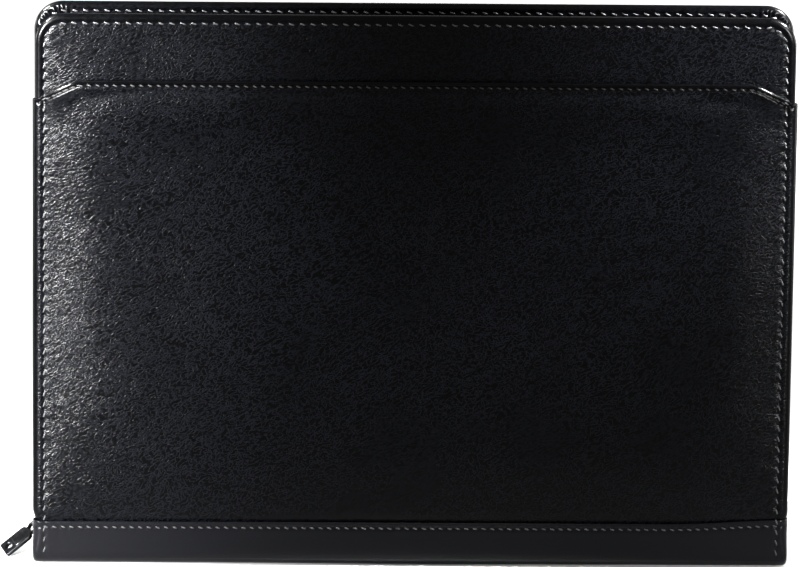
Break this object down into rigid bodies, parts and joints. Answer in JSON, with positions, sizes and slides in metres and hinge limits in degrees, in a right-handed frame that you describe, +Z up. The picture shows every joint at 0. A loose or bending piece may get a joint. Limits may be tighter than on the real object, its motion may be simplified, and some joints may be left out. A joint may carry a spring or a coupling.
{
  "type": "zippered portfolio",
  "caption": "Flat leather document case, zipped shut and standing on its spine, with a front slip pocket and a swinging zip pull.",
  "frame": {"origin": "middle of the flat foot under the spine band, on the surface that the case stands on, level with the middle of the zip", "axes": "+Z up from the spine to the top edges, -Y towards the front cover and its pocket, +X to the right seen from the front"},
  "size_m": [0.3582, 0.0411, 0.254],
  "materials": {
    "leather": "black pebbled leather with a soft shine",
    "zip_tape": "black woven tape",
    "zip_coil": "black nylon coil",
    "zip_metal": "dark plated metal"
  },
  "bodies": {
    "case": {"front_cover": "leather", "front_pocket": "leather", "spine_band": "leather", "back_cover": "leather", "zip_tape_front": "zip_tape", "zip_tape_back": "zip_tape", "zip_coil_front": "zip_coil", "zip_coil_back": "zip_coil", "zip_slider": "zip_metal"},
    "pull": {"zip_pull": "zip_metal"}
  },
  "joints": [
    {"name": "pull_swing", "type": "hinge", "parent": "case", "child": "pull", "pos_m": [-0.16905, 0.0005, 0.0147], "axis": [-0.43, 0.8289, 0.3578], "range_deg": [-8, 80]}
  ]
}
